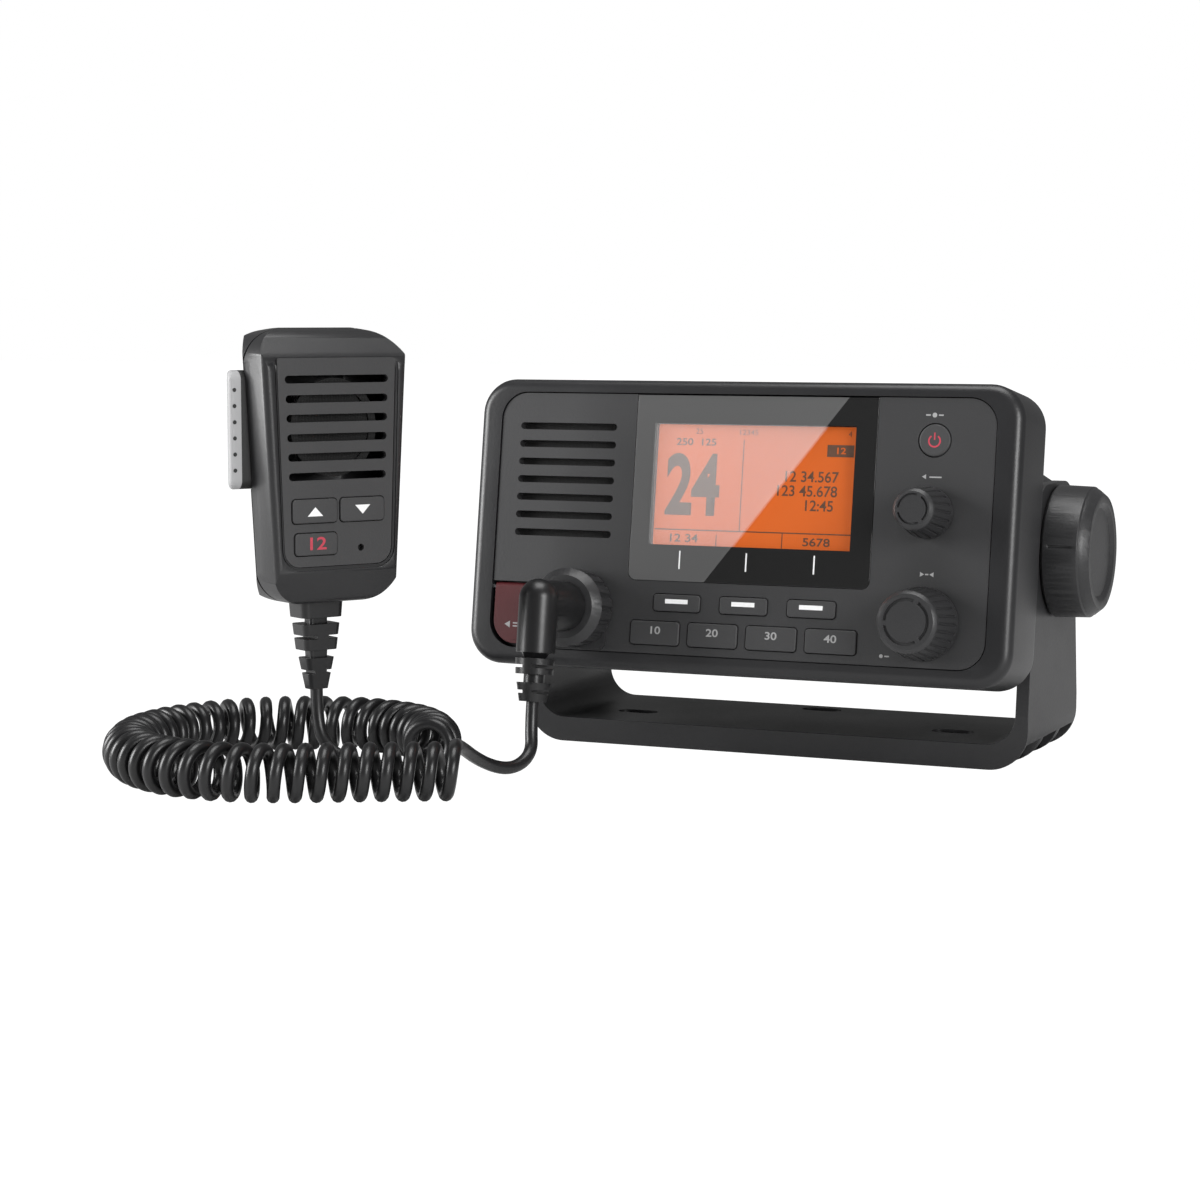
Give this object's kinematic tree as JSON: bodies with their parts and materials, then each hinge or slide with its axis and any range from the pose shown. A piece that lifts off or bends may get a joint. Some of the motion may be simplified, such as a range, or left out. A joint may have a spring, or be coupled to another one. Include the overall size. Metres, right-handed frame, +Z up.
{
  "type": "marine vhf radio",
  "caption": "Fixed marine radio tilting between two clamp knobs on a screw-down bracket, with a corded handset on a curly cord.",
  "frame": {"origin": "centre of the bracket's underside", "axes": "+X to the viewer's right, +Y to the back, +Z up"},
  "size_m": [0.2631, 0.2506, 0.1297],
  "materials": {
    "bracket_plastic": "fine grain",
    "case_plastic": "satin",
    "face_plastic": "fine grain",
    "housing_coat": "matte powder coat",
    "knob_plastic": "satin",
    "key_rubber": "matte",
    "red_plastic": "satin",
    "window": "polished",
    "display": "backlit",
    "brass": "turned",
    "steel": "plain",
    "plated": "turned",
    "cord_jacket": "satin",
    "seal_rubber": "matte",
    "cloth": "woven",
    "board": "solder mask",
    "handset_plastic": "satin",
    "panel_plastic": "fine grain",
    "bar_rubber": "matte"
  },
  "bodies": {
    "bracket": {"bracket": "bracket_plastic", "handset_front": "handset_plastic", "handset_back": "handset_plastic", "handset_panel": "panel_plastic", "handset_seal": "seal_rubber", "handset_speaker": "steel", "handset_board": "board", "hang_button": "steel", "handset_screws": "steel", "handset_boot": "cord_jacket", "coil_cord": "cord_jacket", "handset_lead": "cord_jacket", "plug_lead": "cord_jacket"},
    "radio": {"front_bezel": "case_plastic", "faceplate": "face_plastic", "display_lens": "window", "lcd_module": "display", "keypad_mat": "seal_rubber", "front_board": "board", "speaker": "steel", "speaker_cloth": "cloth", "front_gasket": "seal_rubber", "rear_housing": "housing_coat", "main_board": "board", "rf_shield": "steel", "antenna_socket": "plated", "power_socket": "knob_plastic", "housing_screws": "steel", "side_inserts": "brass", "friction_washers": "seal_rubber", "dial_bushes": "steel", "distress_pin": "steel", "mic_socket": "knob_plastic", "plug_elbow": "cord_jacket", "plug_boot": "cord_jacket"},
    "left_knob": {"left_knob": "knob_plastic", "left_stud": "steel"},
    "right_knob": {"right_knob": "knob_plastic", "right_stud": "steel"},
    "volume_plunger": {"volume_plunger": "steel"},
    "volume_knob": {"volume_shaft": "brass", "volume_knob": "knob_plastic"},
    "select_plunger": {"select_plunger": "steel"},
    "select_knob": {"select_shaft": "brass", "select_knob": "knob_plastic"},
    "distress_cover": {"distress_cover": "red_plastic"},
    "distress_key": {"distress_key": "red_plastic"},
    "coupling_ring": {"coupling_ring": "knob_plastic"},
    "ptt_button": {"ptt_button": "bar_rubber"},
    "channel_up_key": {"channel_up_key": "key_rubber"},
    "channel_down_key": {"channel_down_key": "key_rubber"},
    "recall_key": {"recall_key": "key_rubber"},
    "soft_key_1": {"soft_key_1": "key_rubber"},
    "soft_key_2": {"soft_key_2": "key_rubber"},
    "soft_key_3": {"soft_key_3": "key_rubber"},
    "main_key_1": {"main_key_1": "key_rubber"},
    "main_key_2": {"main_key_2": "key_rubber"},
    "main_key_3": {"main_key_3": "key_rubber"},
    "main_key_4": {"main_key_4": "key_rubber"},
    "power_key": {"power_key": "key_rubber"}
  },
  "joints": [
    {"name": "tilt", "type": "hinge", "parent": "bracket", "child": "radio", "pos_m": [0, 0, 0.063], "axis": [-1, 0, 0], "range_deg": [-11, 20], "deforming": ["plug_lead"]},
    {"name": "left_clamp_turn", "type": "hinge", "parent": "radio", "child": "left_knob", "pos_m": [0, 0, 0.063], "axis": [-1, 0, 0], "range_deg": [-20, 720]},
    {"name": "right_clamp_turn", "type": "hinge", "parent": "radio", "child": "right_knob", "pos_m": [0, 0, 0.063], "axis": [1, 0, 0], "range_deg": [-20, 720]},
    {"name": "volume_push", "type": "slide", "parent": "radio", "child": "volume_plunger", "axis": [0, 0.9895, -0.1444], "range_m": [0, 0.0005], "stiffness_N_per_m": 1500, "springref_m": -0.0003},
    {"name": "volume_turn", "type": "hinge", "parent": "volume_plunger", "child": "volume_knob", "pos_m": [0.0588, -0.05851, 0.0776], "axis": [0, 0.9895, -0.1444], "range_deg": [-150, 150]},
    {"name": "select_push", "type": "slide", "parent": "radio", "child": "select_plunger", "axis": [0, 0.9895, -0.1444], "range_m": [0, 0.0005], "stiffness_N_per_m": 1500, "springref_m": -0.0003},
    {"name": "select_turn", "type": "hinge", "parent": "select_plunger", "child": "select_knob", "pos_m": [0.0592, -0.06307, 0.04633], "axis": [0, 0.9895, -0.1444], "continuous": true},
    {"name": "soft_key_1_press", "type": "slide", "parent": "radio", "child": "soft_key_1", "axis": [0, 0.9895, -0.1444], "range_m": [0, 0.0006], "stiffness_N_per_m": 900, "springref_m": -0.0003},
    {"name": "soft_key_2_press", "type": "slide", "parent": "radio", "child": "soft_key_2", "axis": [0, 0.9895, -0.1444], "range_m": [0, 0.0006], "stiffness_N_per_m": 900, "springref_m": -0.0003},
    {"name": "soft_key_3_press", "type": "slide", "parent": "radio", "child": "soft_key_3", "axis": [0, 0.9895, -0.1444], "range_m": [0, 0.0006], "stiffness_N_per_m": 900, "springref_m": -0.0003},
    {"name": "main_key_1_press", "type": "slide", "parent": "radio", "child": "main_key_1", "axis": [0, 0.9895, -0.1444], "range_m": [0, 0.0006], "stiffness_N_per_m": 900, "springref_m": -0.0003},
    {"name": "main_key_2_press", "type": "slide", "parent": "radio", "child": "main_key_2", "axis": [0, 0.9895, -0.1444], "range_m": [0, 0.0006], "stiffness_N_per_m": 900, "springref_m": -0.0003},
    {"name": "main_key_3_press", "type": "slide", "parent": "radio", "child": "main_key_3", "axis": [0, 0.9895, -0.1444], "range_m": [0, 0.0006], "stiffness_N_per_m": 900, "springref_m": -0.0003},
    {"name": "main_key_4_press", "type": "slide", "parent": "radio", "child": "main_key_4", "axis": [0, 0.9895, -0.1444], "range_m": [0, 0.0006], "stiffness_N_per_m": 900, "springref_m": -0.0003},
    {"name": "power_key_press", "type": "slide", "parent": "radio", "child": "power_key", "axis": [0, 0.9895, -0.1444], "range_m": [0, 0.0006], "stiffness_N_per_m": 900, "springref_m": -0.0003},
    {"name": "distress_cover_hinge", "type": "hinge", "parent": "radio", "child": "distress_cover", "pos_m": [-0.06935, -0.0584, 0.05131], "axis": [-1, 0, 0], "range_deg": [0, 85], "stiffness_Nm_per_rad": 0.003, "springref_deg": -28.65},
    {"name": "distress_key_press", "type": "slide", "parent": "radio", "child": "distress_key", "axis": [0, 0.9895, -0.1444], "range_m": [0, 0.0005], "stiffness_N_per_m": 900, "springref_m": -0.0003},
    {"name": "coupling_ring_turn", "type": "hinge", "parent": "radio", "child": "coupling_ring", "pos_m": [-0.0483, -0.06506, 0.04652], "axis": [0, 0.9895, -0.1444], "continuous": true},
    {"name": "ptt_press", "type": "slide", "parent": "bracket", "child": "ptt_button", "axis": [0.4939, 0.8695, 0], "range_m": [0, 0.0015], "stiffness_N_per_m": 900, "springref_m": -0.001},
    {"name": "channel_up_key_press", "type": "slide", "parent": "bracket", "child": "channel_up_key", "axis": [-0.8695, 0.4939, 0], "range_m": [0, 0.0006], "stiffness_N_per_m": 900, "springref_m": -0.0003},
    {"name": "channel_down_key_press", "type": "slide", "parent": "bracket", "child": "channel_down_key", "axis": [-0.8695, 0.4939, 0], "range_m": [0, 0.0006], "stiffness_N_per_m": 900, "springref_m": -0.0003},
    {"name": "recall_key_press", "type": "slide", "parent": "bracket", "child": "recall_key", "axis": [-0.8695, 0.4939, 0], "range_m": [0, 0.0006], "stiffness_N_per_m": 900, "springref_m": -0.0003}
  ]
}
